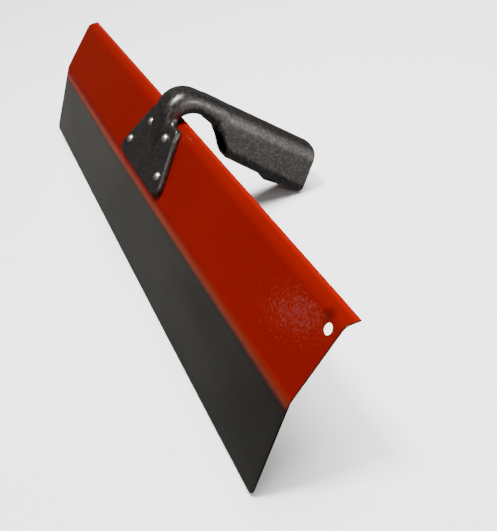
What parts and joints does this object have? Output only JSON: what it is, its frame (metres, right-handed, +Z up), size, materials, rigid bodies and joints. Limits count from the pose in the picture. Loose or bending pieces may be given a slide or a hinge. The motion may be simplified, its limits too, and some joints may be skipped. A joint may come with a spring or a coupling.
{
  "type": "finishing trowel",
  "caption": "Long finishing trowel: folded spring-steel sheet, bare working band, red enamelled panel and lip, hanging hole, hollow cast handle riveted to its front.",
  "frame": {"origin": "on the surface that the tool rests on, below the middle of its bounding box", "axes": "+X along the length, towards the end with the hanging hole; -Y is the side that the panel's painted front and the rivet heads face; +Z up, with the tool resting on its working edge and on the rear of the grip"},
  "size_m": [0.6, 0.207, 0.1383],
  "materials": {
    "sheet_steel": "gloss red enamel on the panel and lip, bare satin spring steel on the working band",
    "hammertone_casting": "charcoal hammertone enamel over cast aluminium",
    "rivet": "bright domed heads"
  },
  "bodies": {
    "root": {"blade_sheet": "sheet_steel", "handle": "hammertone_casting", "rivet_upper_left": "rivet", "rivet_upper_right": "rivet", "rivet_lower_left": "rivet", "rivet_lower_right": "rivet"}
  },
  "joints": []
}
